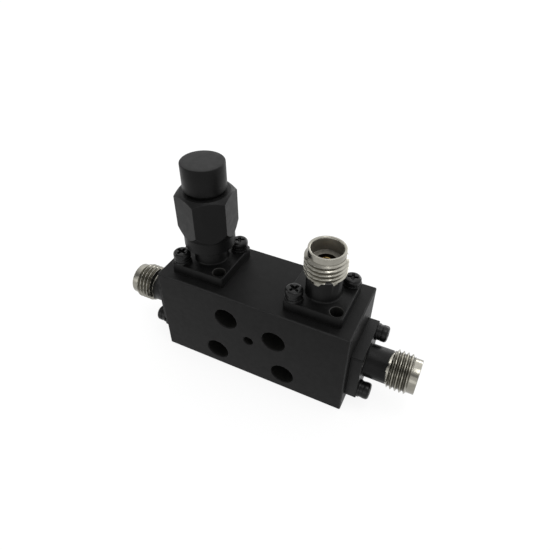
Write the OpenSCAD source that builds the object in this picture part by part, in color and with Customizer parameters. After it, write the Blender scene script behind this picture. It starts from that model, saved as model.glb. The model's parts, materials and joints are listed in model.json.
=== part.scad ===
// Coaxial directional coupler: a split block that holds two parallel lines, with four threaded
// coaxial ports, one of which is closed by a screw-on load.
// Millimetres. X runs along the through line, the front face is at -Y, Z is up from the base.

/* [Block] */
// Length of the block along the through line
body_l = 32.4; // [30:0.1:36]
// Depth of the block from front to back
body_d = 12.4; // [11.6:0.1:15]
// Height of the block
body_h = 16.4; // [15.5:0.1:19]
// Bevel on the outer edges of the block
body_edge = 0.2; // [0.05:0.05:0.4]
// Height of the through line above the base
line_z = 6.8; // [6.3:0.1:7]
// Distance of each top port from the near end of the block
port_inset = 6.6; // [6:0.1:7.2]

/* [Front wells] */
// Radius of the four screw wells in the front face
well_r = 2.0; // [1.95:0.05:2.2]
// Metal left between each well floor and the joint of the halves
well_web = 1.6; // [1.2:0.1:2.2]
// Upper left well, distance from the middle
well_left_x = 3.9; // [3.4:0.1:4.4]
// Upper left well, height above the base
well_left_z = 11.6; // [11:0.1:12.4]
// Upper right well, distance from the middle
well_right_x = 4.4; // [3.8:0.1:4.8]
// Upper right well, height above the base
well_right_z = 10.4; // [10.3:0.1:11.4]
// Lower wells, distance of each from the middle
well_low_x = 6.0; // [5:0.1:7]
// Lower wells, height above the base
well_low_z = 3.35; // [2.8:0.05:3.6]
// Radius of the small hole in the middle of the front face
pilot_r = 0.9; // [0.7:0.05:1.1]
// Depth of the small hole
pilot_depth = 3.2; // [2:0.1:4]
// Height of the small hole above the base
pilot_z = 8.4; // [8:0.1:8.8]

/* [Clamp screws] */
// Shank radius of the screws that clamp the halves
clamp_r = 1.0; // [0.8:0.05:1.1]
// Head radius of the clamp screws
clamp_head_r = 1.8; // [1.5:0.05:1.9]
// Head height of the clamp screws
clamp_head_h = 1.3; // [1:0.1:1.8]
// Across flats of the socket in each clamp head
clamp_socket = 1.5; // [1.2:0.1:1.8]
// Depth of the socket in each clamp head
clamp_socket_depth = 0.8; // [0.4:0.1:0.9]
// Reach of the clamp screws into the rear half
clamp_reach = 4.2; // [3:0.1:5]

/* [Line chamber] */
// Height of the chamber below the through line
chamber_below = 1.8; // [1.2:0.1:2]
// Height of the chamber above the through line
chamber_above = 2.2; // [2:0.1:2.4]
// Depth of the chamber cut into each half
chamber_cut = 1.0; // [0.8:0.1:1.1]
// Metal between the chamber and each port face
chamber_wall = 3.0; // [2:0.1:3.2]
// Width of the risers from the chamber to the top ports
riser_w = 2.6; // [2:0.1:3]

/* [Lines] */
// Thickness of both lines from front to back
line_t = 0.8; // [0.5:0.05:1.2]
// Height of the through line
main_h = 1.0; // [0.6:0.1:1.2]
// Gap between the through line and the line above it
line_gap = 0.4; // [0.2:0.05:0.5]
// Height of the upper line, and width of its risers
coupled_h = 0.8; // [0.5:0.05:1]
// Distance that each contact reaches into the chamber
feed_in = 0.2; // [0.1:0.05:0.6]
// Distance of the insulating blocks from the middle
support_x = 6.2; // [3:0.1:7]
// Length of each insulating block
support_l = 1.2; // [0.8:0.1:2]

/* [Port shells] */
// Side of the square flange
flange_w = 9.2; // [8.8:0.1:10.4]
// Thickness of the flange
flange_t = 1.8; // [1.6:0.1:2.4]
// Corner radius of the flange
flange_corner = 0.4; // [0.1:0.1:0.8]
// Pitch of the four flange holes
hole_pitch = 6.6; // [6.3:0.05:6.8]
// Radius of the flange holes
flange_hole_r = 1.0; // [0.9:0.05:1.1]
// Radius of the plain barrel
barrel_r = 2.7; // [2.4:0.05:2.85]
// Length of the plain barrel
barrel_l = 3.65; // [3:0.05:5]
// Outer radius of the thread
thread_r = 3.175; // [3:0.005:3.3]
// Length of the thread
thread_l = 3.25; // [2.8:0.05:5]
// Bevel at both ends of the thread
thread_bevel = 0.3; // [0.1:0.05:0.4]
// Radius of the plain tip
tip_r = 2.75; // [2.7:0.05:2.9]
// Length of the plain tip
tip_l = 1.1; // [0.8:0.1:1.6]
// Bevel on the outside of the rim
rim_bevel = 0.1; // [0.05:0.01:0.15]
// Radius of the mouth
mouth_r = 2.325; // [2.2:0.005:2.4]
// Depth of the mouth down to its floor
mouth_depth = 2.2; // [1.5:0.1:2.4]
// Bevel on the inside of the rim
mouth_bevel = 0.2; // [0.05:0.01:0.22]

/* [Port insides] */
// Radius of the coaxial bore
coax_r = 1.46; // [1.3:0.01:1.6]
// Radius of the support bead
bead_r = 1.9; // [1.75:0.05:2.1]
// Length of the support bead
bead_l = 1.5; // [1:0.1:1.6]
// Radius of the centre contact
contact_r = 0.635; // [0.55:0.005:0.8]
// Radius of the neck of the contact inside the bead
contact_neck_r = 0.4; // [0.3:0.05:0.5]
// Radius of the hole in the contact's tip
socket_r = 0.47; // [0.4:0.01:0.5]
// Depth of the hole in the contact's tip
socket_depth = 2.6; // [2.3:0.1:3.2]
// Width of the slots in the contact's tip
slot_w = 0.15; // [0.1:0.01:0.25]
// Length of the slots in the contact's tip
slot_l = 2.0; // [1:0.1:2.4]

/* [Port screws] */
// Shank radius of the flange screws
screw_r = 0.8; // [0.6:0.05:0.85]
// Reach of the flange screws into the block
screw_reach = 3.2; // [2:0.1:4]
// Head radius of the flange screws
head_r = 1.35; // [1.2:0.05:1.5]
// Head height of the flange screws
head_h = 1.0; // [0.9:0.05:1.4]
// Rounding of the head's upper edge
head_round = 0.45; // [0.1:0.05:0.6]
// Span of the cross recess in the head
cross_span = 1.6; // [1.2:0.1:1.9]
// Width of the cross recess in the head
cross_w = 0.4; // [0.25:0.05:0.5]
// Depth of the cross recess in the head
cross_depth = 0.55; // [0.3:0.05:0.8]
// Outer radius of the spring washers
spring_r = 1.3; // [1.2:0.05:1.5]
// Thickness of the spring washers
spring_t = 0.5; // [0.3:0.05:0.6]
// Width of the slit in the spring washers
spring_slit = 0.2; // [0.1:0.05:0.4]
// Outer radius of the flat washers
flat_r = 1.4; // [1.3:0.05:1.55]
// Thickness of the flat washers
flat_t = 0.35; // [0.2:0.05:0.4]

/* [Load] */
// Distance that the coupling nut reaches below the rim of its port
nut_overlap = 5.2; // [4.4:0.1:5.4]
// Length of the coupling nut above the rim of its port
nut_above = 4.0; // [3.8:0.1:5.4]
// Across flats of the coupling nut
nut_af = 8.0; // [7.6:0.05:8.6]
// Radius of the round skirt of the nut
nut_skirt_r = 3.95; // [3.7:0.05:3.95]
// Length of the round skirt of the nut
nut_skirt = 2.0; // [1:0.1:2.6]
// Length of the cone between the skirt and the full hexagon
nut_low_cone = 1.5; // [0.6:0.1:2]
// Length of the cone above the full hexagon
nut_top_cone = 0.6; // [0.4:0.1:2]
// Radius of the nut at its upper end
nut_top_r = 3.7; // [3.35:0.05:3.8]
// Direction that one flat of the nut faces, from the front towards the right end
nut_turn = 38; // [0:1:59]
// Width of the gasket on the rim, from its inner to its outer edge
gasket_w = 0.45; // [0.3:0.05:0.6]
// Thickness of the gasket on the rim
gasket_t = 0.4; // [0.2:0.05:0.6]
// Radius of the neck of the load
neck_r = 2.75; // [2.7:0.05:2.85]
// Length of neck that shows above the nut
neck_show = 0.45; // [0.1:0.05:1]
// Radius of the cap
cap_r = 3.25; // [3:0.01:3.6]
// Length of the cap
cap_l = 4.05; // [2.5:0.05:6]
// Bevel on the top edge of the cap
cap_edge = 0.2; // [0.05:0.01:0.3]
// Height of the retaining ring
ring_h = 0.5; // [0.3:0.05:0.7]
// Depth of the ring's groove in the neck
ring_in = 0.3; // [0.2:0.05:0.4]
// Depth of the ring's groove in the nut
ring_out = 0.3; // [0.2:0.05:0.4]
// Distance of the ring below the upper end of the nut
ring_below = 2.0; // [1.2:0.1:2.6]
// Gap in the retaining ring
ring_slit = 0.8; // [0.4:0.1:1.5]
// Radius of the load's centre pin
pin_r = 0.455; // [0.35:0.005:0.46]
// Length of the load's centre pin below the mouth floor
pin_l = 2.2; // [1.4:0.1:2.25]
// Radius of the resistor rod
resistor_r = 0.9; // [0.7:0.05:1.2]
// Length of the resistor rod
resistor_l = 2.6; // [1.5:0.1:3.2]

/* [Clearances] */
// Radial room round every screw shank in its tapped hole
tap_gap = 0.03; // [0.01:0.01:0.06]
// Radial room between the thread and the coupling nut
thread_gap = 0.03; // [0.01:0.01:0.06]
// Radial room round beads, contacts and the pin in its socket
fit_gap = 0.01; // [0.005:0.005:0.03]
// Radial room between the neck and the coupling nut
neck_gap = 0.1; // [0.05:0.01:0.2]
// Radial room between the plug of the load and the mouth
plug_gap = 0.05; // [0.02:0.01:0.1]

/* [Hidden] */
$fn = 48;
// Cuts run past the faces that they open by this much
over = 0.5;
port_x = body_l / 2 - port_inset;
// Ends of the shell's steps, measured out from the port face
barrel_end = flange_t + barrel_l;
thread_end = barrel_end + thread_l;
rim = thread_end + tip_l;
mouth_floor = rim - mouth_depth;
// Contacts and lines meet this far in from a port face
feed_depth = chamber_wall + feed_in;
main_len = body_l - 2 * feed_depth;
coupled_z = line_z + main_h / 2 + line_gap;
chamber_low = line_z - chamber_below;
chamber_h = chamber_below + chamber_above;
// Heights of a flange screw's head seat above the port face, on a flat washer and on both washers
low_seat = flange_t + flat_t;
head_seat = low_seat + spring_t;
// Heights in the load, measured out from the port face
nut_low = rim - nut_overlap;
nut_top = rim + nut_above;
neck_low = rim + gasket_t;
cap_low = nut_top + neck_show;
cap_top = cap_low + cap_l;
ring_low = nut_top - ring_below - ring_h;
plug_r = mouth_r - plug_gap;
load_bead_low = mouth_floor + mouth_depth / 2;
load_bore_end = load_bead_low + bead_l + resistor_l;
// Places of the wells and their screws in the front face
wells = [
    [-well_left_x, well_left_z],
    [well_right_x, well_right_z],
    [-well_low_x, well_low_z],
    [well_low_x, well_low_z]
];
black = "#202124";
bare_steel = "#b9b5ab";
gold = "#c8a24c";
silver_plate = "#cfcfca";
insulator = "#ece8dc";
carbon = "#3a3a3c";

// Places a child on each port face, with its axis pointing out of the block
module at_input() {
    translate([-body_l / 2, 0, line_z])
        rotate([0, -90, 0])
            children();
}

module at_output() {
    translate([body_l / 2, 0, line_z])
        rotate([0, 90, 0])
            children();
}

module at_coupled() {
    translate([port_x, 0, body_h])
        children();
}

module at_isolated() {
    translate([-port_x, 0, body_h])
        children();
}

module at_every_port() {
    at_input()
        children();
    at_output()
        children();
    at_coupled()
        children();
    at_isolated()
        children();
}

// One screw place on a flange; turn picks the pair of opposite corners and side the one of the pair
module at_screw(turn, side) {
    translate([side * hole_pitch / 2, side * turn * hole_pitch / 2, 0])
        children();
}

// Both screw places of a pair
module at_screws(turn) {
    for (side = [-1, 1])
        at_screw(turn, side)
            children();
}

// Places a child at every well, with its axis pointing into the front face
module at_wells() {
    for (place = wells)
        translate([place[0], 0, place[1]])
            rotate([-90, 0, 0])
                children();
}

// Ring shape about Z
module tube(outer, inner, height) {
    difference() {
        cylinder(r = outer, h = height);
        translate([0, 0, -over])
            cylinder(r = inner, h = height + 2 * over);
    }
}

// Rectangle centred on the origin with its corners cut off
module bevelled_rectangle(wide, high, cut) {
    polygon([
        [-wide / 2 + cut, -high / 2], [wide / 2 - cut, -high / 2],
        [wide / 2, -high / 2 + cut], [wide / 2, high / 2 - cut],
        [wide / 2 - cut, high / 2], [-wide / 2 + cut, high / 2],
        [-wide / 2, high / 2 - cut], [-wide / 2, -high / 2 + cut]
    ]);
}

// Square centred on the origin with round corners
module rounded_square(side, corner) {
    square([side - 2 * corner, side], center = true);
    square([side, side - 2 * corner], center = true);
    for (x = [-1, 1], y = [-1, 1])
        translate([x * (side / 2 - corner), y * (side / 2 - corner)])
            circle(r = corner);
}

// Whole block with all its outer edges bevelled
module bevelled_block() {
    translate([0, 0, body_h / 2])
        intersection() {
            linear_extrude(body_h, center = true)
                bevelled_rectangle(body_l, body_d, body_edge);
            rotate([90, 0, 0])
                linear_extrude(body_d, center = true)
                    bevelled_rectangle(body_l, body_h, body_edge);
            rotate([90, 0, 90])
                linear_extrude(body_l, center = true)
                    bevelled_rectangle(body_d, body_h, body_edge);
        }
}

// Room for the lines: a chamber along the block, two risers and a bore to every port
module line_room() {
    translate([-body_l / 2 + chamber_wall, -chamber_cut, chamber_low])
        cube([body_l - 2 * chamber_wall, 2 * chamber_cut, chamber_h]);
    for (side = [-1, 1])
        translate([side * port_x - riser_w / 2, -chamber_cut, line_z])
            cube([riser_w, 2 * chamber_cut, body_h - chamber_wall - line_z]);
    at_every_port()
        translate([0, 0, -feed_depth])
            cylinder(r = coax_r, h = feed_depth + over);
}

// Tapped holes for the flange screws
module flange_tapping() {
    module holes(turn) {
        at_screws(turn)
            translate([0, 0, -screw_reach])
                cylinder(r = screw_r + tap_gap, h = screw_reach + over);
    }
    at_input()
        holes(1);
    at_output()
        holes(-1);
    at_coupled()
        holes(1);
    at_isolated()
        holes(1);
}

// Shanks of the clamp screws with room round them
module clamp_tapping() {
    at_wells()
        translate([0, 0, -well_web - over])
            cylinder(r = clamp_r + tap_gap, h = well_web + clamp_reach + over);
}

// Half of the block in front of (side -1) or behind (side 1) the lines
module block_half(side) {
    difference() {
        intersection() {
            bevelled_block();
            translate([-body_l, side < 0 ? -body_d : 0, -over])
                cube([2 * body_l, body_d, body_h + 2 * over]);
        }
        line_room();
        flange_tapping();
        clamp_tapping();
        if (side < 0)
            at_wells()
                translate([0, 0, -body_d / 2 - over])
                    cylinder(r = well_r, h = body_d / 2 - well_web + over);
        if (side < 0)
            translate([0, -body_d / 2 - over, pilot_z])
                rotate([-90, 0, 0])
                    cylinder(r = pilot_r, h = pilot_depth + over);
    }
}

// Socket-head screw at the bottom of a well
module clamp_screw() {
    difference() {
        union() {
            translate([0, 0, -well_web - clamp_head_h])
                cylinder(r = clamp_head_r, h = clamp_head_h);
            translate([0, 0, -well_web])
                cylinder(r = clamp_r, h = well_web + clamp_reach);
        }
        translate([0, 0, -well_web - clamp_head_h - over])
            cylinder(d = clamp_socket / cos(30), h = clamp_socket_depth + over, $fn = 6);
    }
}

// Turned shell of a port: square flange, barrel, thread and plain tip in one piece
module port_shell() {
    difference() {
        union() {
            linear_extrude(flange_t)
                rounded_square(flange_w, flange_corner);
            cylinder(r = barrel_r, h = thread_end);
            rotate_extrude()
                polygon([
                    [0, barrel_end], [thread_r - thread_bevel, barrel_end],
                    [thread_r, barrel_end + thread_bevel], [thread_r, thread_end - thread_bevel],
                    [thread_r - thread_bevel, thread_end], [0, thread_end]
                ]);
            rotate_extrude()
                polygon([
                    [0, thread_end - over], [tip_r, thread_end - over],
                    [tip_r, rim - rim_bevel], [tip_r - rim_bevel, rim], [0, rim]
                ]);
        }
        for (turn = [-1, 1])
            at_screws(turn)
                translate([0, 0, -over])
                    cylinder(r = flange_hole_r, h = flange_t + 2 * over);
        translate([0, 0, -over])
            cylinder(r = coax_r, h = rim);
        translate([0, 0, -over])
            cylinder(r = bead_r, h = bead_l + over);
        translate([0, 0, mouth_floor])
            cylinder(r = mouth_r, h = mouth_depth + over);
        translate([0, 0, rim - mouth_bevel])
            cylinder(r1 = mouth_r, r2 = mouth_r + mouth_bevel, h = mouth_bevel);
    }
}

// Insulating bead that carries the contact in the back of the shell
module port_bead() {
    tube(bead_r - fit_gap, contact_neck_r + fit_gap, bead_l);
}

// Slotted centre contact, necked where the bead grips it
module port_contact() {
    difference() {
        union() {
            translate([0, 0, -feed_depth])
                cylinder(r = contact_r, h = feed_depth);
            cylinder(r = contact_neck_r, h = bead_l);
            translate([0, 0, bead_l])
                cylinder(r = contact_r, h = mouth_floor - bead_l);
        }
        translate([0, 0, mouth_floor - socket_depth])
            cylinder(r = socket_r, h = socket_depth + over);
        for (turn = [45, 135])
            rotate([0, 0, turn])
                translate([-contact_r - over, -slot_w / 2, mouth_floor - slot_l])
                    cube([2 * (contact_r + over), slot_w, slot_l + over]);
    }
}

// Pan-head screw with a cross recess, its head resting at the height seat
module flange_screw(seat) {
    difference() {
        union() {
            translate([0, 0, -screw_reach])
                cylinder(r = screw_r, h = screw_reach + seat);
            translate([0, 0, seat])
                rotate_extrude() {
                    square([head_r, head_h - head_round]);
                    square([head_r - head_round, head_h]);
                    translate([head_r - head_round, head_h - head_round])
                        intersection() {
                            circle(r = head_round);
                            square(head_round);
                        }
                }
        }
        for (turn = [45, 135])
            translate([0, 0, seat + head_h - cross_depth])
                rotate([0, 0, turn])
                    translate([-cross_span / 2, -cross_w / 2, 0])
                        cube([cross_span, cross_w, cross_depth + over]);
    }
}

// Split ring pressed flat under a screw head; its slit runs aslant
module spring_washer() {
    translate([0, 0, low_seat])
        difference() {
            tube(spring_r, screw_r + tap_gap, spring_t);
            translate([0, 0, spring_t / 2])
                rotate([25, 0, 0])
                    translate([0, -spring_slit / 2, -2 * spring_t])
                        cube([spring_r + over, spring_slit, 4 * spring_t]);
        }
}

module flat_washer() {
    translate([0, 0, flange_t])
        tube(flat_r, screw_r + tap_gap, flat_t);
}

module body_front() {
    color(black)
        block_half(-1);
}

module body_rear() {
    color(black)
        block_half(1);
}

module clamp_screws() {
    color(black)
        at_wells()
            clamp_screw();
}

// Straight bar between the two end ports
module main_line() {
    color(silver_plate)
        translate([-main_len / 2, -line_t / 2, line_z - main_h / 2])
            cube([main_len, line_t, main_h]);
}

// Bar above the through line with a riser to each top port
module coupled_line() {
    color(silver_plate)
        translate([0, line_t / 2, 0])
            rotate([90, 0, 0])
                linear_extrude(line_t) {
                    translate([-port_x - coupled_h / 2, coupled_z])
                        square([2 * port_x + coupled_h, coupled_h]);
                    for (side = [-1, 1])
                        translate([side * port_x - coupled_h / 2, coupled_z])
                            square([coupled_h, body_h - feed_depth - coupled_z]);
                }
}

// Insulating blocks between the lines and the front and back of the chamber
module line_supports() {
    color(insulator)
        for (side = [-1, 1], face = [-chamber_cut, line_t / 2])
            translate([side * support_x - support_l / 2, face, chamber_low])
                cube([support_l, chamber_cut - line_t / 2, chamber_h]);
}

module input_shell() {
    color(bare_steel)
        at_input()
            port_shell();
}

module input_bead() {
    color(insulator)
        at_input()
            port_bead();
}

module input_contact() {
    color(gold)
        at_input()
            port_contact();
}

module input_screws() {
    color(black)
        at_input()
            at_screws(1)
                flange_screw(head_seat);
}

module input_spring_washers() {
    color(black)
        at_input()
            at_screws(1)
                spring_washer();
}

module input_flat_washers() {
    color(black)
        at_input()
            at_screws(1)
                flat_washer();
}

module output_shell() {
    color(bare_steel)
        at_output()
            port_shell();
}

module output_bead() {
    color(insulator)
        at_output()
            port_bead();
}

module output_contact() {
    color(gold)
        at_output()
            port_contact();
}

module output_screws() {
    color(black)
        at_output()
            at_screws(-1)
                flange_screw(head_seat);
}

module output_spring_washers() {
    color(black)
        at_output()
            at_screws(-1)
                spring_washer();
}

module output_flat_washers() {
    color(black)
        at_output()
            at_screws(-1)
                flat_washer();
}

module coupled_shell() {
    color(bare_steel)
        at_coupled()
            port_shell();
}

module coupled_bead() {
    color(insulator)
        at_coupled()
            port_bead();
}

module coupled_contact() {
    color(gold)
        at_coupled()
            port_contact();
}

// The rear screw on this flange has no spring washer, so its head sits lower
module coupled_screws() {
    color(black)
        at_coupled() {
            at_screw(1, -1)
                flange_screw(head_seat);
            at_screw(1, 1)
                flange_screw(low_seat);
        }
}

module coupled_spring_washer() {
    color(black)
        at_coupled()
            at_screw(1, -1)
                spring_washer();
}

module coupled_flat_washers() {
    color(black)
        at_coupled()
            at_screws(1)
                flat_washer();
}

module isolated_shell() {
    color(bare_steel)
        at_isolated()
            port_shell();
}

module isolated_bead() {
    color(insulator)
        at_isolated()
            port_bead();
}

module isolated_contact() {
    color(gold)
        at_isolated()
            port_contact();
}

module isolated_screws() {
    color(black)
        at_isolated()
            at_screws(1)
                flange_screw(head_seat);
}

module isolated_spring_washers() {
    color(black)
        at_isolated()
            at_screws(1)
                spring_washer();
}

module isolated_flat_washers() {
    color(black)
        at_isolated()
            at_screws(1)
                flat_washer();
}

// Outline that rounds off the nut: a skirt, a cone, room for the corners and a second cone
module nut_outline(corner_r) {
    low_slope = nut_low_cone / (corner_r - nut_skirt_r);
    top_slope = nut_top_cone / (corner_r - nut_top_r);
    polygon([
        [0, nut_low],
        [nut_skirt_r, nut_low],
        [nut_skirt_r, nut_low + nut_skirt],
        [corner_r + over, nut_low + nut_skirt + nut_low_cone + over * low_slope],
        [corner_r + over, nut_top - nut_top_cone - over * top_slope],
        [nut_top_r, nut_top],
        [0, nut_top]
    ]);
}

// Nut that screws over the port: round skirt, hexagon with coned ends, collar round the neck
module coupling_nut() {
    corner_r = nut_af / 2 / cos(30);
    color(black)
        at_isolated()
            difference() {
                intersection() {
                    translate([0, 0, nut_low])
                        rotate([0, 0, nut_turn - 60])
                            cylinder(r = corner_r, h = nut_top - nut_low, $fn = 6);
                    rotate_extrude()
                        nut_outline(corner_r);
                }
                translate([0, 0, nut_low - over])
                    cylinder(r = thread_r + thread_gap, h = neck_low + gasket_t - nut_low + over);
                translate([0, 0, nut_low])
                    cylinder(r = neck_r + neck_gap, h = nut_top - nut_low + over);
                translate([0, 0, ring_low])
                    cylinder(r = neck_r + neck_gap + ring_out, h = ring_h);
            }
}

// Plug, neck and cap of the load in one piece, bored for its pin and resistor
module load_body() {
    color(black)
        at_isolated()
            difference() {
                union() {
                    translate([0, 0, mouth_floor])
                        cylinder(r = plug_r, h = neck_low - mouth_floor);
                    translate([0, 0, neck_low])
                        cylinder(r = neck_r, h = cap_low - neck_low);
                    rotate_extrude()
                        polygon([
                            [0, cap_low], [cap_r, cap_low], [cap_r, cap_top - cap_edge],
                            [cap_r - cap_edge, cap_top], [0, cap_top]
                        ]);
                }
                translate([0, 0, mouth_floor - over])
                    cylinder(r = coax_r, h = load_bore_end - mouth_floor + over);
                translate([0, 0, ring_low])
                    tube(neck_r + over, neck_r - ring_in, ring_h);
            }
}

// Open ring that keeps the nut on the neck
module retaining_ring() {
    color(bare_steel)
        at_isolated()
            translate([0, 0, ring_low])
                difference() {
                    tube(neck_r + neck_gap + ring_out - fit_gap, neck_r - ring_in + fit_gap, ring_h);
                    translate([0, -ring_slit / 2, -over])
                        cube([2 * neck_r, ring_slit, ring_h + 2 * over]);
                }
}

// Flat seal between the rim of the port and the shoulder of the load
module gasket() {
    color(carbon)
        at_isolated()
            translate([0, 0, rim])
                tube(plug_r + fit_gap + gasket_w, plug_r + fit_gap, gasket_t);
}

// Pin of the load: a thin end in the port's contact and a full end that carries the bead
module load_contact() {
    color(gold)
        at_isolated() {
            translate([0, 0, mouth_floor - pin_l])
                cylinder(r = pin_r, h = pin_l);
            translate([0, 0, mouth_floor])
                cylinder(r = contact_r, h = load_bead_low - mouth_floor);
            translate([0, 0, load_bead_low])
                cylinder(r = contact_neck_r, h = bead_l);
        }
}

module load_bead() {
    color(insulator)
        at_isolated()
            translate([0, 0, load_bead_low])
                tube(coax_r - fit_gap, contact_neck_r + fit_gap, bead_l);
}

// Resistor rod between the pin and the end of the bore
module load_resistor() {
    color(carbon)
        at_isolated()
            translate([0, 0, load_bead_low + bead_l])
                cylinder(r = resistor_r, h = resistor_l);
}

body_front();
body_rear();
clamp_screws();
main_line();
coupled_line();
line_supports();
input_shell();
input_bead();
input_contact();
input_screws();
input_spring_washers();
input_flat_washers();
output_shell();
output_bead();
output_contact();
output_screws();
output_spring_washers();
output_flat_washers();
coupled_shell();
coupled_bead();
coupled_contact();
coupled_screws();
coupled_spring_washer();
coupled_flat_washers();
isolated_shell();
isolated_bead();
isolated_contact();
isolated_screws();
isolated_spring_washers();
isolated_flat_washers();
coupling_nut();
load_body();
retaining_ring();
gasket();
load_contact();
load_bead();
load_resistor();
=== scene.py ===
import json
import math

import bmesh
import bpy
from mathutils import Matrix, Vector, noise


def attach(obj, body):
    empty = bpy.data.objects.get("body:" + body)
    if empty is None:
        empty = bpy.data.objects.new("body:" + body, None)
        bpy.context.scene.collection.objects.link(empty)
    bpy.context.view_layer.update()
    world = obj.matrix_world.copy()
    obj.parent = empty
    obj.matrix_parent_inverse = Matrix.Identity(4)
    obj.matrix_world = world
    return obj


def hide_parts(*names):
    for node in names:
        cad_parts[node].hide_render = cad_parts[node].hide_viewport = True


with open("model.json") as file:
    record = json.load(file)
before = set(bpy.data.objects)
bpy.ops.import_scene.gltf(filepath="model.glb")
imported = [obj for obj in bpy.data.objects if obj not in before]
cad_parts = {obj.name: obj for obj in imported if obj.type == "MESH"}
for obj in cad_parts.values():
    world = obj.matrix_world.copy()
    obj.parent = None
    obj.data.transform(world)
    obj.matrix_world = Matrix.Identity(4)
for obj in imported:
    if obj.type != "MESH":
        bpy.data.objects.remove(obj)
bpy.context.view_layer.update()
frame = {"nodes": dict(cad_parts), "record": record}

# Sizes in millimetres, the same as in the part's source
MM = 0.001
BLOCK_L, BLOCK_D, BLOCK_H = 32.4, 12.4, 16.4
FLANGE, FLANGE_T, CORNER = 9.2, 1.8, 0.4
HOLE_PITCH, HOLE_R = 6.6, 1.0
BARREL_R, BARREL_END, THREAD_END, RIM = 2.7, 5.45, 8.7, 9.8
THREAD_R, PITCH, THREAD_DEPTH = 3.175, 0.7056, 0.43
TIP_R, MOUTH_R, MOUTH_FLOOR, COAX_R = 2.75, 2.325, 7.6, 1.46
BEAD_R, BEAD_L = 1.9, 1.5
SCREW_R, SCREW_REACH, HEAD_R, HEAD_H, HEAD_ROUND = 0.8, 3.2, 1.35, 1.0, 0.45
FLAT_T, SPRING_T = 0.35, 0.5
NUT_LOW, NUT_TOP, NUT_AF, NUT_TURN = 4.6, 13.8, 8.0, 38
NUT_SKIRT_R, NUT_SKIRT, NUT_LOW_CONE, NUT_TOP_R, NUT_TOP_CONE = 3.95, 2.0, 1.5, 3.7, 0.6
NUT_THREAD_R, NUT_COLLAR_R, NUT_COLLAR_LOW, NUT_GROOVE_R = 3.205, 2.85, 10.6, 3.15
CAP_LOW, CAP_TOP, CAP_R, CAP_EDGE, NECK_R, NECK_LOW = 14.25, 18.3, 3.25, 0.2, 2.75, 10.2
PLUG_R, LOAD_BORE_END, NECK_GROOVE = 2.275, 12.8, 0.3
RING_LOW, RING_H = 11.3, 0.5

# Small forms that only the scene has, in millimetres
PAINT_FILM = 0.04
CORE_BACK = 0.02
RIM_ROUND, MOUTH_ROUND, FLOOR_ROUND, BORE_ROUND = 0.08, 0.22, 0.06, 0.05
FLANGE_EDGE, HOLE_LIP, BARREL_FILLET = 0.1, 0.07, 0.2
SCREW_BEVEL, HEAD_FOOT = 0.12, 0.06
NUT_EDGE, NUT_BEVEL, COLLAR_BEVEL, NUT_MOUTH_R, NUT_MOUTH_CONE = 0.1, 0.03, 0.08, 3.3, 0.12
CAP_FOOT, NECK_FILLET = 0.08, 0.06

# How much of a hole's paler lip colour, thinly painted and painted light, also lies on its wall
# below the lip
HOLE_WALL_PALE = 0.2
# Slope of the cones that start and end a thread, and a height between them
THREAD_START, THREAD_STOP, THREAD_MIDDLE = 1.7, 1.42, 7.0
# Size of the waves and of the fray in the paint's edge, and how far the edge may drop
WAVES = ((1.7, 1.0), (5.0, 0.4))
FRAY_SCALE, FRAY, PAINT_DROP = 23.0, 0.06, 0.55
# Points round a port, a flange hole, a screw, the nut and the cap, and the step along a thread
PORT_COUNT, HOLE_COUNT, SCREW_COUNT, NUT_COUNT, CAP_COUNT = 144, 40, 48, 240, 128
THREAD_STEP = 0.035

# Place of each port face, its two cross axes and its axis out of the block, the pair of screwed
# corners, the phase of the thread, then the height, raggedness and seed of the paint's edge
PORTS = {
    "input": ((-16.2, 0, 6.8), (0, 0, 1), (0, 1, 0), (-1, 0, 0), 1, 0.2, 5.25, 0.3, 1.4),
    "output": ((16.2, 0, 6.8), (0, 0, -1), (0, 1, 0), (1, 0, 0), -1, 0.13, 5.25, 0.35, 0.91),
    "coupled": ((9.6, 0, 16.4), (1, 0, 0), (0, 1, 0), (0, 0, 1), 1, 0.35, 5.3, 1.3, 47.265),
    "isolated": ((-9.6, 0, 16.4), (1, 0, 0), (0, 1, 0), (0, 0, 1), 1, 0.5, 5.3, 0.3, 3.5),
}
# Turn of the cross in each screw, and how far the head of one screw sits lower
CROSS_TURNS = {"input": (20, 70), "output": (35, 80), "coupled": (61, 12), "isolated": (75, 30)}
LOW_SCREWS = {("coupled", 1): SPRING_T}
# Span, width and depth below the head's top of each step of the cross recess
CROSS_STEPS = ((1.68, 0.46, 0.0), (1.6, 0.4, 0.04), (1.34, 0.36, 0.5), (0.6, 0.24, 0.6))
CROSS_POINT, CROSS_CORNER = 0.04, 0.62


def port_frame(name):
    """Matrix from a port's own frame, with Z out of the block, to the shared one."""
    origin, u, v, w = PORTS[name][:4]
    m = Matrix((u, v, w)).transposed().to_4x4()
    m.translation = Vector(origin)
    return m


# Mesh building
def whole_turn(count, start=0.0):
    return [start + 2 * math.pi * i / count for i in range(count)]


def around(angles, spots):
    """Points about Z, each from an angle and its (r, z)."""
    return [(r * math.cos(a), r * math.sin(a), z) for a, (r, z) in zip(angles, spots)]


def circle(r, z, count, start=0.0):
    return around(whole_turn(count, start), [(r, z)] * count)


def arc(cr, cz, radius, first, last, steps):
    """Points (r, z) of an arc in the profile plane, angles in degrees."""
    angles = [math.radians(first + (last - first) * i / steps) for i in range(steps + 1)]
    return [(cr + radius * math.cos(a), cz + radius * math.sin(a)) for a in angles]


def add_loop(bm, points):
    return [bm.verts.new(p) for p in points]


def bridge(bm, a, b):
    """Quads between two closed loops of the same count; a loop of one vertex makes a fan."""
    n = max(len(a), len(b))
    for i in range(n):
        j = (i + 1) % n
        if len(a) == 1:
            bm.faces.new((a[0], b[j], b[i]))
        elif len(b) == 1:
            bm.faces.new((a[i], a[j], b[0]))
        else:
            bm.faces.new((a[i], a[j], b[j], b[i]))


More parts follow.
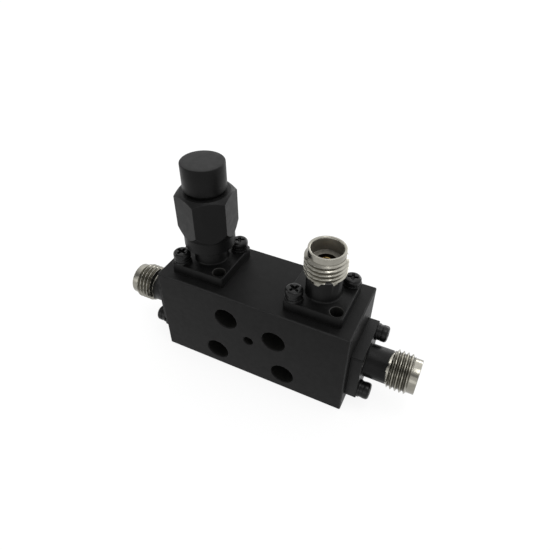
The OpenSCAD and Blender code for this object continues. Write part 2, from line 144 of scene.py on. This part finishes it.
def sweep(bm, loops, closed=False):
    for a, b in zip(loops, loops[1:]):
        bridge(bm, a, b)
    if closed:
        bridge(bm, loops[-1], loops[0])


def lathe(bm, profile, count):
    """Turns a profile of (r, z) about Z; a point on the axis becomes one vertex."""
    loops = []
    for r, z in profile:
        loops.append(add_loop(bm, [(0, 0, z)] if r < 1e-6 else circle(r, z, count)))
    sweep(bm, loops)
    return loops


def fill(bm, loops):
    """Flat face between an outer loop and the loops inside it."""
    edges = []
    for loop in loops:
        for a, b in zip(loop, loop[1:] + loop[:1]):
            edges.append(bm.edges.get((a, b)) or bm.edges.new((a, b)))
    bmesh.ops.triangle_fill(bm, use_beauty=True, edges=edges, normal=(0, 0, 1))


def rounded_square(side, corner, z, steps=6):
    points = []
    middle = side / 2 - corner
    for quarter, (sx, sy) in enumerate(((1, 1), (-1, 1), (-1, -1), (1, -1))):
        for i in range(steps + 1):
            a = math.radians(90 * quarter + 90 * i / steps)
            x, y = sx * middle + corner * math.cos(a), sy * middle + corner * math.sin(a)
            points.append((x, y, z))
    return points


def finish_piece(bm, name, matrix, material, nodes, angle=35, marks=None):
    """Moves a mesh from its local frame to the shared one and gives it to the object.

    Each mark is a function of a vertex's local place, kept as an attribute for the material."""
    bmesh.ops.recalc_face_normals(bm, faces=bm.faces[:])
    mesh = bpy.data.meshes.new(name)
    values = {key: [mark(v.co) for v in bm.verts] for key, mark in (marks or {}).items()}
    for v in bm.verts:
        v.co = (matrix @ v.co) * MM
    bm.to_mesh(mesh)
    bm.free()
    for key, row in values.items():
        mesh.attributes.new(key, "FLOAT", "POINT").data.foreach_set("value", row)
    mesh.shade_smooth()
    mesh.set_sharp_from_angle(angle=math.radians(angle))
    mesh.materials.append(material)
    piece = bpy.data.objects.new(name, mesh)
    bpy.context.scene.collection.objects.link(piece)
    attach(piece, "root")
    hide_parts(*nodes)


# Marks for the materials
def in_hole(place):
    """1 on the lips of a flange's holes, less on their walls, 0 elsewhere."""
    off = math.hypot(abs(place.x) - HOLE_PITCH / 2, abs(place.y) - HOLE_PITCH / 2)
    if off > HOLE_R + 0.05:
        return 0.0
    return 1.0 if place.z > FLANGE_T - 0.06 else HOLE_WALL_PALE


def in_mouth(place):
    """1 on the wall and floor of a port's mouth, 0 elsewhere."""
    deep = MOUTH_FLOOR - 0.01 < place.z < RIM - 0.1
    return 1.0 if deep and math.hypot(place.x, place.y) < MOUTH_R + 0.1 else 0.0


def groove_depth(place):
    """0 on the crest of a port's thread and off the thread, 1 at its root."""
    if not BARREL_END + 0.2 < place.z < THREAD_END - 0.1:
        return 0.0
    return min(max((THREAD_R - math.hypot(place.x, place.y)) / THREAD_DEPTH, 0.0), 1.0)


def paint_edge(name, angle):
    """Height of the ragged end of the paint on a port's barrel."""
    height, rag, seed = PORTS[name][6:]
    spot = Vector((math.cos(angle), math.sin(angle), seed))
    ragged = rag * sum(share * noise.noise(spot * scale) for scale, share in WAVES)
    ragged += FRAY * noise.noise(spot * FRAY_SCALE)
    return max(height + ragged, height - PAINT_DROP)


# Materials
class Graph:
    """Short way to add and join the nodes of a shader."""

    def __init__(self, tree):
        self.tree = tree

    def add(self, kind, **values):
        node = self.tree.nodes.new(kind)
        for key, value in values.items():
            setattr(node, key, value)
        return node

    def join(self, source, target):
        self.tree.links.new(source, target)

    def put(self, socket, value):
        if isinstance(value, bpy.types.NodeSocket):
            self.join(value, socket)
        else:
            socket.default_value = value

    def remap(self, value, low, high, to_low, to_high, kind="LINEAR"):
        node = self.add("ShaderNodeMapRange", interpolation_type=kind)
        self.join(value, node.inputs["Value"])
        limits = {"From Min": low, "From Max": high, "To Min": to_low, "To Max": to_high}
        for key, limit in limits.items():
            node.inputs[key].default_value = limit
        return node.outputs["Result"]

    def math(self, kind, a, b=0.0):
        node = self.add("ShaderNodeMath", operation=kind)
        self.put(node.inputs[0], a)
        self.put(node.inputs[1], b)
        return node.outputs["Value"]

    def dot(self, a, b):
        node = self.add("ShaderNodeVectorMath", operation="DOT_PRODUCT")
        self.put(node.inputs[0], a)
        self.put(node.inputs[1], b)
        return node.outputs["Value"]

    def axis(self, vector, axis):
        node = self.add("ShaderNodeSeparateXYZ")
        self.join(vector, node.inputs["Vector"])
        return node.outputs[axis]

    def seen_by(self, *rays):
        """1 for the named kinds of ray, 0 for the rest."""
        path = self.add("ShaderNodeLightPath")
        seen = path.outputs[rays[0]]
        for ray in rays[1:]:
            seen = self.math("MAXIMUM", seen, path.outputs[ray])
        return seen


class Nodes(Graph):
    """Nodes of one material, in the object's coordinates."""

    def __init__(self, name):
        self.mat = bpy.data.materials.new(name)
        self.mat.use_nodes = True
        super().__init__(self.mat.node_tree)
        self.bsdf = self.tree.nodes["Principled BSDF"]
        self.coord = self.add("ShaderNodeTexCoord").outputs["Object"]

    def noise(self, scale, detail=3.0, roughness=0.55):
        node = self.add("ShaderNodeTexNoise")
        node.inputs["Scale"].default_value = scale
        node.inputs["Detail"].default_value = detail
        node.inputs["Roughness"].default_value = roughness
        self.join(self.coord, node.inputs["Vector"])
        return node.outputs["Fac"]

    def cloud(self, scale, detail, low, high):
        """Noise stretched to run between two values."""
        return self.remap(self.noise(scale, detail), 0.3, 0.7, low, high)

    def mark(self, name):
        """A mark that finish_piece kept on the mesh."""
        return self.add("ShaderNodeAttribute", attribute_name=name).outputs["Fac"]

    def mix(self, factor, a, b):
        node = self.add("ShaderNodeMix", data_type="RGBA")
        self.put(node.inputs["Factor"], factor)
        self.put(node.inputs["A"], a)
        self.put(node.inputs["B"], b)
        return node.outputs["Result"]

    def cover(self, factor, colour):
        """Lays a colour over the one that the shader has."""
        base = self.bsdf.inputs["Base Color"]
        self.join(self.mix(factor, base.links[0].from_socket, colour), base)

    def bump(self, height, strength, distance, normal=None):
        node = self.add("ShaderNodeBump")
        node.inputs["Strength"].default_value = strength
        node.inputs["Distance"].default_value = distance
        self.join(height, node.inputs["Height"])
        if normal is not None:
            self.join(normal, node.inputs["Normal"])
        self.join(node.outputs["Normal"], self.bsdf.inputs["Normal"])

    def band(self, value, low, high, soft):
        """1 where a value lies between two limits, 0 outside them."""
        above = self.remap(value, low - soft, low + soft, 0.0, 1.0)
        return self.math("MULTIPLY", above, self.remap(value, high + soft, high - soft, 0.0, 1.0))

    def edges(self, radius, joint=False):
        """Normal rounded over edges, and a mask that is 1 on them.

        With joint, both leave out the joint of the two halves, which the paint covers."""
        rounded = self.add("ShaderNodeBevel", samples=6)
        rounded.inputs["Radius"].default_value = radius
        normal = rounded.outputs["Normal"]
        face = self.add("ShaderNodeNewGeometry").outputs["Normal"]
        edge = self.remap(self.dot(normal, face), 0.995, 0.86, 0.0, 1.0)
        if joint:
            off = self.math("ABSOLUTE", self.axis(self.coord, "Y"))
            away = self.remap(off, 0.25 * MM, 0.4 * MM, 0.0, 1.0)
            # A Mix node set to vectors has its factor at 0, A at 4, B at 5 and its result at 1
            blend = self.add("ShaderNodeMix", data_type="VECTOR")
            for key, source in ((0, away), (4, face), (5, normal)):
                self.join(source, blend.inputs[key])
            normal, edge = blend.outputs[1], self.math("MULTIPLY", edge, away)
        return normal, edge


def grey(v):
    return (v, v, v, 1)


def black_paint(name, dark, light, rough_low, rough_high, worn, gloss, peel, joint=False):
    """Sprayed black: faint mottling, fine orange peel, edges rubbed a little paler."""
    n = Nodes(name)
    n.bsdf.inputs["Specular IOR Level"].default_value = gloss
    normal, edge = n.edges(0.12 * MM, joint)
    mottle = n.mix(n.cloud(420, 4, 0.0, 1.0), grey(dark), grey(light))
    rub = n.math("MULTIPLY", edge, n.remap(n.noise(1500), 0.35, 0.65, 0.15, 1.0))
    n.join(n.mix(rub, mottle, grey(worn)), n.bsdf.inputs["Base Color"])
    n.join(n.cloud(1100, 3, rough_low, rough_high), n.bsdf.inputs["Roughness"])
    n.bump(n.noise(3800, 4), peel, 0.03 * MM, normal)
    return n


def block_paint():
    """Paint of the block: paler in the holes of the front face, thinly painted there and with
    painted light lifting their shade, and paler on the bevels, as wear and as painted light evening
    out their shade.
    """
    n = black_paint("block_paint", 0.003, 0.005, 0.46, 0.54, 0.03, 0.11, 0.12, joint=True)
    x, y, z = (n.axis(n.coord, axis) for axis in "XYZ")
    # Painted light, partly thinly painted walls: the inside of the front face's holes gets a paler
    # grey that lifts the shade in them
    across = n.band(x, -14.8 * MM, 14.8 * MM, 0.1 * MM)
    hollow = n.math("MULTIPLY", across, n.band(z, 0.7 * MM, 15.7 * MM, 0.1 * MM))
    hollow = n.math("MULTIPLY", hollow, n.band(y, -5.9 * MM, -1.2 * MM, 0.15 * MM))
    n.cover(n.math("MULTIPLY", hollow, n.cloud(900, 4, 0.6, 1.0)), (0.012, 0.012, 0.011, 1))
    # Painted light, partly rubbed paint: the bevels get a paler grey so that they show no darker
    # than the faces
    depth = n.math("SUBTRACT", BLOCK_L / 2 * MM, n.math("ABSOLUTE", x))
    for other in (n.math("SUBTRACT", BLOCK_D / 2 * MM, n.math("ABSOLUTE", y)), z,
                  n.math("SUBTRACT", BLOCK_H * MM, z)):
        depth = n.math("MINIMUM", depth, other)
    bevel = n.band(depth, 0.04 * MM, 0.3 * MM, 0.03 * MM)
    n.cover(n.math("MULTIPLY", bevel, n.cloud(1300, 3, 0.5, 1.0)), grey(0.022))
    return n


def flange_paint():
    """Paint of the flanges, paler on the lips and walls of their holes: thinly painted there, with
    painted light that brings out the lips and lifts the walls' shade.
    """
    n = black_paint("flange_paint", 0.003, 0.005, 0.34, 0.46, 0.012, 0.13, 0.4)
    # Painted light, partly thinly painted: a paler grey over the holes' lips and, fainter, their
    # walls
    thin_paint_and_lift = n.math("MULTIPLY", n.mark("hole"), n.cloud(1200, 3, 0.6, 1.0))
    n.cover(thin_paint_and_lift, (0.05, 0.049, 0.046, 1))
    return n


def port_steel():
    """Turned steel of the ports: rings along the axis, duller in the mouth, and paler there as
    painted light that lifts the mouth's shade.

    Painted shade darkens the thread towards its roots, and black specks lie where the spray ends."""
    n = Nodes("port_steel")
    height, groove, mouth = n.mark("axial"), n.mark("groove"), n.mark("mouth")
    tone = n.cloud(700, 4, 0.0, 1.0)
    steel = n.mix(tone, (0.23, 0.222, 0.193, 1), (0.31, 0.299, 0.262, 1))
    # Painted light: the mouth's wall and floor get a paler steel colour so that their shaded inside
    # reads lighter
    steel = n.mix(mouth, steel, (0.38, 0.365, 0.325, 1))
    patchy = n.cloud(1500, 4, 0.55, 1.0)
    # Painted shade: from partway down each groove the steel is mixed towards dark brown, darkest at
    # the root, and made rougher there
    painted_groove_shade = n.math("MULTIPLY", n.remap(groove, 0.35, 1.0, 0.0, 0.75), patchy)
    groove_shaded = n.mix(painted_groove_shade, steel, (0.035, 0.032, 0.025, 1))
    speckle = n.remap(n.noise(2600, 5, 0.7), 0.25, 0.75, -0.24, 0.24)
    spray = n.remap(n.math("ADD", height, speckle), 0.1, 0.0, 0.0, 1.0)
    n.join(n.mix(spray, groove_shaded, grey(0.012)), n.bsdf.inputs["Base Color"])
    n.join(n.remap(spray, 0.0, 1.0, 1.0, 0.0), n.bsdf.inputs["Metallic"])
    rings = n.add("ShaderNodeTexNoise", noise_dimensions="1D")
    n.join(height, rings.inputs["W"])
    rings.inputs["Scale"].default_value = 22.0
    rings.inputs["Detail"].default_value = 3.0
    rough = n.remap(rings.outputs["Fac"], 0.3, 0.7, 0.12, 0.22)
    for more in (n.cloud(3000, 3, 0.0, 0.06), n.remap(painted_groove_shade, 0.0, 1.0, 0.0, 0.25),
                 n.remap(mouth, 0.0, 1.0, 0.0, 0.2)):
        rough = n.math("ADD", rough, more)
    rough = n.math("MAXIMUM", rough, n.remap(spray, 0.0, 1.0, 0.0, 0.4))
    n.join(rough, n.bsdf.inputs["Roughness"])
    n.bump(rings.outputs["Fac"], 0.1, 0.04 * MM)
    return n


def metal(name, colour_a, colour_b, rough_low, rough_high, grain):
    """Bare or plated metal with cloudy tone and fine tool marks."""
    n = Nodes(name)
    n.bsdf.inputs["Metallic"].default_value = 1.0
    n.join(n.mix(n.cloud(900, 4, 0.0, 1.0), colour_a, colour_b), n.bsdf.inputs["Base Color"])
    n.join(n.cloud(2400, 3, rough_low, rough_high), n.bsdf.inputs["Roughness"])
    n.bump(n.noise(grain, 2), 0.08, 0.02 * MM)
    return n


def plain(name, colour_a, colour_b, rough_low, rough_high, grain, depth):
    """Plastic, rubber or ceramic with uneven tone and a fine surface."""
    n = Nodes(name)
    n.join(n.mix(n.cloud(800, 4, 0.0, 1.0), colour_a, colour_b), n.bsdf.inputs["Base Color"])
    n.join(n.cloud(1800, 3, rough_low, rough_high), n.bsdf.inputs["Roughness"])
    n.bump(n.noise(grain), 0.15, depth)
    return n


FLANGE_PAINT = flange_paint().mat
LOAD_PAINT = black_paint("load_paint", 0.0035, 0.0065, 0.34, 0.44, 0.03, 0.11, 0.1).mat
SCREW_BLACK = black_paint("screw_paint", 0.004, 0.007, 0.22, 0.34, 0.03, 0.2, 0.3).mat
STEEL = port_steel().mat

SLOT_MATERIALS = {
    "black_paint": block_paint().mat,
    "screw_black": SCREW_BLACK,
    "bare_steel": metal("ring_steel", (0.5, 0.49, 0.46, 1), (0.6, 0.58, 0.55, 1),
                        0.25, 0.4, 6000).mat,
    "gold_plate": metal("contact_gold", (0.7, 0.47, 0.17, 1), (0.78, 0.56, 0.24, 1),
                        0.2, 0.32, 7000).mat,
    "silver_plate": metal("line_silver", (0.74, 0.73, 0.7, 1), (0.82, 0.81, 0.78, 1),
                          0.25, 0.4, 5000).mat,
    "insulator": plain("bead_white", (0.78, 0.75, 0.66, 1), (0.86, 0.83, 0.75, 1),
                       0.4, 0.55, 4000, 0.02 * MM).mat,
    "gasket": plain("gasket_rubber", grey(0.03), grey(0.055), 0.6, 0.75, 6000, 0.03 * MM).mat,
    "resistor": plain("resistor_body", (0.05, 0.042, 0.035, 1), (0.08, 0.07, 0.06, 1),
                      0.45, 0.6, 7000, 0.03 * MM).mat,
}
for row in frame["record"]["subparts"]:
    node = frame["nodes"][row["node"]]
    node.data.materials.clear()
    node.data.materials.append(SLOT_MATERIALS[row["material_slot"]])


# Ports
def thread_radius(angle, z, phase):
    """Radius of a right-handed sixty degree thread, with coned ends."""
    turn = (z / PITCH - phase - angle / (2 * math.pi)) % 1.0
    off = min(turn, 1 - turn) * PITCH
    depth = min(max(off - PITCH / 14, 0) / math.tan(math.radians(30)), THREAD_DEPTH)
    start = BARREL_R - PAINT_FILM + (z - BARREL_END) * THREAD_START
    end = TIP_R + (THREAD_END - z) * THREAD_STOP
    least = BARREL_R - PAINT_FILM if z < THREAD_MIDDLE else TIP_R - 0.01
    return max(min(THREAD_R - depth, start, end), least)


def mouth_profile():
    """Points (r, z) from the tip over the rim, down the mouth and the bore to the bead's seat."""
    rows = [(TIP_R, THREAD_END + 0.06), (TIP_R, RIM - 0.1)]
    rows += arc(TIP_R - RIM_ROUND, RIM - RIM_ROUND, RIM_ROUND, 0, 90, 4)[1:]
    rows.append((MOUTH_R + MOUTH_ROUND, RIM))
    rows += arc(MOUTH_R + MOUTH_ROUND, RIM - MOUTH_ROUND, MOUTH_ROUND, 90, 180, 5)[1:]
    rows.append((MOUTH_R, MOUTH_FLOOR + FLOOR_ROUND))
    rows += arc(MOUTH_R - FLOOR_ROUND, MOUTH_FLOOR + FLOOR_ROUND, FLOOR_ROUND, 0, -90, 3)[1:]
    rows.append((COAX_R + BORE_ROUND, MOUTH_FLOOR))
    rows += arc(COAX_R + BORE_ROUND, MOUTH_FLOOR - BORE_ROUND, BORE_ROUND, 90, 180, 3)[1:]
    return rows + [(COAX_R, BEAD_L), (BEAD_R, BEAD_L), (BEAD_R, CORE_BACK)]


def port_core(name):
    """Bare steel of a port: barrel, thread, tip, open mouth and bore, as one closed shape."""
    phase = PORTS[name][5]
    angles = whole_turn(PORT_COUNT)
    bm = bmesh.new()
    loops = [add_loop(bm, circle(BARREL_R - PAINT_FILM, z, PORT_COUNT))
             for z in (CORE_BACK, FLANGE_T, BARREL_END - 0.02)]
    for i in range(round((THREAD_END - BARREL_END) / THREAD_STEP) + 1):
        z = BARREL_END + i * THREAD_STEP
        spots = [(thread_radius(a, z, phase), z) for a in angles]
        loops.append(add_loop(bm, around(angles, spots)))
    loops += [add_loop(bm, circle(r, z, PORT_COUNT)) for r, z in mouth_profile()]
    sweep(bm, loops, closed=True)

    def above_paint(place):
        return place.z - paint_edge(name, math.atan2(place.y, place.x))

    marks = {"groove": groove_depth, "mouth": in_mouth, "axial": above_paint}
    finish_piece(bm, name + "_thread", port_frame(name), STEEL, [name + "_shell"],
                 marks=marks)


def port_flange(name):
    """Black painted flange with its four holes, and the film of paint that runs up the barrel."""
    bm = bmesh.new()
    rows = [(0.0, 0.0)]
    for r, z in arc(0, 0, FLANGE_EDGE, 0, 90, 4):
        rows.append((FLANGE_EDGE - r, FLANGE_T - FLANGE_EDGE + z))
    outer = [add_loop(bm, rounded_square(FLANGE - 2 * inset, CORNER - inset, z))
             for inset, z in rows]
    sweep(bm, outer)
    tops, feet = [outer[-1]], [outer[0]]
    wall = [(HOLE_R, 0.0)] + arc(HOLE_R + HOLE_LIP, FLANGE_T - HOLE_LIP, HOLE_LIP, 180, 90, 3)
    for sx in (-1, 1):
        for sy in (-1, 1):
            x, y = sx * HOLE_PITCH / 2, sy * HOLE_PITCH / 2
            loops = [add_loop(bm, [(x + px, y + py, z) for px, py, z in circle(r, h, HOLE_COUNT)])
                     for r, h in wall]
            sweep(bm, loops)
            tops.append(loops[-1])
            feet.append(loops[0])
    fillet = arc(BARREL_R + BARREL_FILLET, FLANGE_T + BARREL_FILLET, BARREL_FILLET, 270, 180, 4)
    loops = [add_loop(bm, circle(r, z, PORT_COUNT)) for r, z in fillet]
    angles = whole_turn(PORT_COUNT)
    ends = [min(paint_edge(name, a), BARREL_END - 0.03) for a in angles]
    inner = BARREL_R - 0.95 * PAINT_FILM
    for r, below in ((BARREL_R, 0.05), (BARREL_R - 0.4 * PAINT_FILM, 0.0), (inner, 0.0)):
        loops.append(add_loop(bm, around(angles, [(r, end - below) for end in ends])))
    loops.append(add_loop(bm, circle(inner, 0.0, PORT_COUNT)))
    sweep(bm, loops)
    fill(bm, tops + [loops[0]])
    fill(bm, feet + [loops[-1]])
    finish_piece(bm, name + "_flange", port_frame(name), FLANGE_PAINT,
                 [name + "_shell"], marks={"hole": in_hole})


def cross_outline(span, wide, z, turn):
    points = []
    arm = ((span / 2, -wide / 2), (span / 2 + CROSS_POINT, 0.0), (span / 2, wide / 2),
           (wide * CROSS_CORNER, wide * CROSS_CORNER))
    for quarter in range(4):
        a = math.radians(turn + 90 * quarter)
        for x, y in arm:
            points.append((x * math.cos(a) - y * math.sin(a), x * math.sin(a) + y * math.cos(a), z))
    return points


def screw(bm, x, y, seat, turn):
    """Pan-head screw with a tapered cross recess, added at a place on a port's flange."""
    top = seat + HEAD_H
    profile = [(0, -SCREW_REACH), (SCREW_R - SCREW_BEVEL, -SCREW_REACH)]
    profile += [(SCREW_R, -SCREW_REACH + SCREW_BEVEL), (SCREW_R, seat), (HEAD_R - HEAD_FOOT, seat)]
    profile += arc(HEAD_R - HEAD_FOOT, seat + HEAD_FOOT, HEAD_FOOT, -90, 0, 3)[1:]
    profile += arc(HEAD_R - HEAD_ROUND, top - HEAD_ROUND, HEAD_ROUND, 0, 90, 8)
    first = len(bm.verts)
    loops = lathe(bm, profile, SCREW_COUNT)
    cross = [add_loop(bm, cross_outline(span, wide, top - down, turn))
             for span, wide, down in CROSS_STEPS]
    sweep(bm, cross)
    bm.faces.new(cross[-1])
    fill(bm, [loops[-1], cross[0]])
    bm.verts.ensure_lookup_table()
    for v in bm.verts[first:]:
        v.co.x += x
        v.co.y += y


def port_screws(name):
    bm = bmesh.new()
    pair, half = PORTS[name][4], HOLE_PITCH / 2
    for side, turn in zip((-1, 1), CROSS_TURNS[name]):
        seat = FLANGE_T + FLAT_T + SPRING_T - LOW_SCREWS.get((name, side), 0.0)
        screw(bm, side * half, side * pair * half, seat, turn)
    finish_piece(bm, name + "_pan_screws", port_frame(name), SCREW_BLACK,
                 [name + "_screws"])


for port in PORTS:
    port_core(port)
    port_flange(port)
    port_screws(port)


# Load
def nut_rows(angle):
    """Points (r, z) of the nut's outside at one angle: round skirt, cone, flat, second cone."""
    half = NUT_AF / 2
    corner = half / math.cos(math.pi / 6)
    sides = [math.radians(NUT_TURN - 90 + 60 * i) for i in range(6)]
    flat = min(half / max(math.cos(angle - side), 0.2) for side in sides)
    skirt_top = NUT_LOW + NUT_SKIRT
    low = skirt_top + NUT_LOW_CONE * (flat - NUT_SKIRT_R) / (corner - NUT_SKIRT_R)
    high = NUT_TOP - NUT_TOP_CONE * (flat - NUT_TOP_R) / (corner - NUT_TOP_R)
    rows = [(NUT_SKIRT_R, NUT_LOW + NUT_EDGE), (NUT_SKIRT_R, skirt_top)]
    for t in (0.5, 1.0):
        rows.append((NUT_SKIRT_R + (flat - NUT_SKIRT_R) * t, skirt_top + (low - skirt_top) * t))
    rows += [(flat, low + (high - low) * t) for t in (0.25, 0.5, 0.75, 1.0)]
    for t in (0.5, 0.97):
        rows.append((flat + (NUT_TOP_R - flat) * t, high + (NUT_TOP - high) * t))
    return rows


def coupling_nut():
    """Hexagon nut with coned ends, bored for the thread, the neck and the retaining ring."""
    bm = bmesh.new()
    start = math.radians(NUT_TURN - 60)
    angles = whole_turn(NUT_COUNT, start)
    ring_top = RING_LOW + RING_H
    mouth = [(NUT_THREAD_R, NUT_LOW + NUT_MOUTH_CONE), (NUT_MOUTH_R, NUT_LOW),
             (NUT_SKIRT_R - NUT_EDGE, NUT_LOW), (NUT_SKIRT_R - NUT_BEVEL, NUT_LOW + NUT_BEVEL)]
    collar = [(NUT_TOP_R - 0.05, NUT_TOP), (NUT_COLLAR_R + COLLAR_BEVEL, NUT_TOP),
              (NUT_COLLAR_R, NUT_TOP - COLLAR_BEVEL), (NUT_COLLAR_R, ring_top),
              (NUT_GROOVE_R, ring_top), (NUT_GROOVE_R, RING_LOW), (NUT_COLLAR_R, RING_LOW),
              (NUT_COLLAR_R, NUT_COLLAR_LOW), (NUT_THREAD_R, NUT_COLLAR_LOW)]
    loops = [add_loop(bm, circle(r, z, NUT_COUNT, start)) for r, z in mouth]
    for row in zip(*[nut_rows(a) for a in angles]):
        loops.append(add_loop(bm, around(angles, row)))
    loops += [add_loop(bm, circle(r, z, NUT_COUNT, start)) for r, z in collar]
    sweep(bm, loops, closed=True)
    finish_piece(bm, "load_nut", port_frame("isolated"), LOAD_PAINT,
                 ["coupling_nut"], angle=15)


def load_cap():
    """Plug, grooved neck and round cap of the load, turned in one piece."""
    ring_top, groove_r = RING_LOW + RING_H, NECK_R - NECK_GROOVE
    profile = [(0, LOAD_BORE_END), (COAX_R, LOAD_BORE_END), (COAX_R, MOUTH_FLOOR)]
    profile += [(PLUG_R, MOUTH_FLOOR), (PLUG_R, NECK_LOW), (NECK_R, NECK_LOW)]
    profile += [(NECK_R, RING_LOW), (groove_r, RING_LOW), (groove_r, ring_top), (NECK_R, ring_top)]
    profile += [(NECK_R, CAP_LOW - NECK_FILLET), (NECK_R + NECK_FILLET, CAP_LOW)]
    profile += arc(CAP_R - CAP_FOOT, CAP_LOW + CAP_FOOT, CAP_FOOT, -90, 0, 4)
    profile += arc(CAP_R - CAP_EDGE, CAP_TOP - CAP_EDGE, CAP_EDGE, 0, 90, 6)
    profile += [(CAP_R * share, CAP_TOP) for share in (0.75, 0.5, 0.25, 0.0)]
    bm = bmesh.new()
    lathe(bm, profile, CAP_COUNT)
    finish_piece(bm, "load_cap", port_frame("isolated"), LOAD_PAINT, ["load_body"])


coupling_nut()
load_cap()

# Floor, light and camera, in metres
FLOOR_HALF, FLOOR_ALBEDO, FLOOR_GLOW = 3.0, 0.14, 0.86
TENT_LEAN, TENT_DIM, TENT_BRIGHT = (0.2, 0.74, 0.64), 0.12, 1.6
BACKDROP_TOP, BACKDROP_FULL = 0.45, 0.28
# Place, size and power in watts of each lamp; all of them point at one spot
LAMP_AIM = (0, 0, 0.01)
LAMPS = {
    "overhead": ((0.06, -0.01, 0.36), (0.15, 0.1), 0.2),
    "front": ((-0.06, -0.42, 0.2), (0.6, 0.36), 0.65),
    "left": ((-0.34, -0.06, 0.16), (0.2, 0.16), 0.25),
    "behind": ((0.12, 0.42, 0.12), (0.3, 0.12), 0.5),
}
CAMERA_LENS, CAMERA_SENSOR, CAMERA_CLIP = 30.743, 36, 0.001
CAMERA_PLACE = (0.025002, -0.048872, 0.065432)
CAMERA_RIGHT = (0.89997, 0.43589, 0.00639)
CAMERA_UP = (-0.29106, 0.5899, 0.75319)
CAMERA_BACK = (0.32454, -0.67972, 0.65777)


def make_floor():
    """Pale floor that looks white and keeps the object's shadow."""
    bm = bmesh.new()
    bmesh.ops.create_grid(bm, x_segments=8, y_segments=8, size=FLOOR_HALF)
    mesh = bpy.data.meshes.new("floor")
    bm.to_mesh(mesh)
    bm.free()
    floor = bpy.data.objects.new("floor", mesh)
    bpy.context.scene.collection.objects.link(floor)
    mat = bpy.data.materials.new("floor_white")
    mat.use_nodes = True
    graph = Graph(mat.node_tree)
    bsdf = mat.node_tree.nodes["Principled BSDF"]
    bsdf.inputs["Base Color"].default_value = grey(FLOOR_ALBEDO)
    bsdf.inputs["Roughness"].default_value = 0.9
    bsdf.inputs["Specular IOR Level"].default_value = 0.0
    bsdf.inputs["Emission Color"].default_value = grey(1.0)
    seen = graph.seen_by("Is Camera Ray", "Is Glossy Ray", "Is Transmission Ray")
    graph.join(graph.remap(seen, 0.0, 1.0, 0.0, FLOOR_GLOW), bsdf.inputs["Emission Strength"])
    mesh.materials.append(mat)


def make_world():
    """Soft tent, bright above and behind and dim in front, with a white backdrop low down."""
    world = bpy.data.worlds.new("studio")
    bpy.context.scene.world = world
    world.use_nodes = True
    graph = Graph(world.node_tree)
    tent = world.node_tree.nodes["Background"]
    tent.inputs["Color"].default_value = grey(1.0)
    toward = graph.add("ShaderNodeTexCoord").outputs["Generated"]
    lean = graph.dot(toward, TENT_LEAN)
    fade = graph.remap(lean, -0.2, 0.95, TENT_DIM, TENT_BRIGHT, "SMOOTHSTEP")
    height = graph.axis(toward, "Z")
    backdrop = graph.remap(height, BACKDROP_TOP, BACKDROP_FULL, 0.0, 1.0, "SMOOTHSTEP")
    graph.join(graph.math("MAXIMUM", fade, backdrop), tent.inputs["Strength"])


def make_lamp(name):
    place, size, power = LAMPS[name]
    data = bpy.data.lights.new(name, "AREA")
    data.shape = "RECTANGLE"
    data.size, data.size_y = size
    data.energy = power
    lamp = bpy.data.objects.new(name, data)
    lamp.location = place
    aim = Vector(LAMP_AIM) - Vector(place)
    lamp.rotation_euler = aim.to_track_quat("-Z", "Y").to_euler()
    bpy.context.scene.collection.objects.link(lamp)


def make_camera():
    """Camera at the photograph's viewing angle."""
    data = bpy.data.cameras.new("camera")
    data.lens = CAMERA_LENS
    data.sensor_width = CAMERA_SENSOR
    data.clip_start = CAMERA_CLIP
    camera = bpy.data.objects.new("camera", data)
    view = Matrix((CAMERA_RIGHT, CAMERA_UP, CAMERA_BACK)).transposed().to_4x4()
    view.translation = CAMERA_PLACE
    camera.matrix_world = view
    bpy.context.scene.collection.objects.link(camera)
    bpy.context.scene.camera = camera


make_floor()
make_world()
for lamp_name in LAMPS:
    make_lamp(lamp_name)
make_camera()
bpy.context.scene.view_settings.view_transform = "Standard"
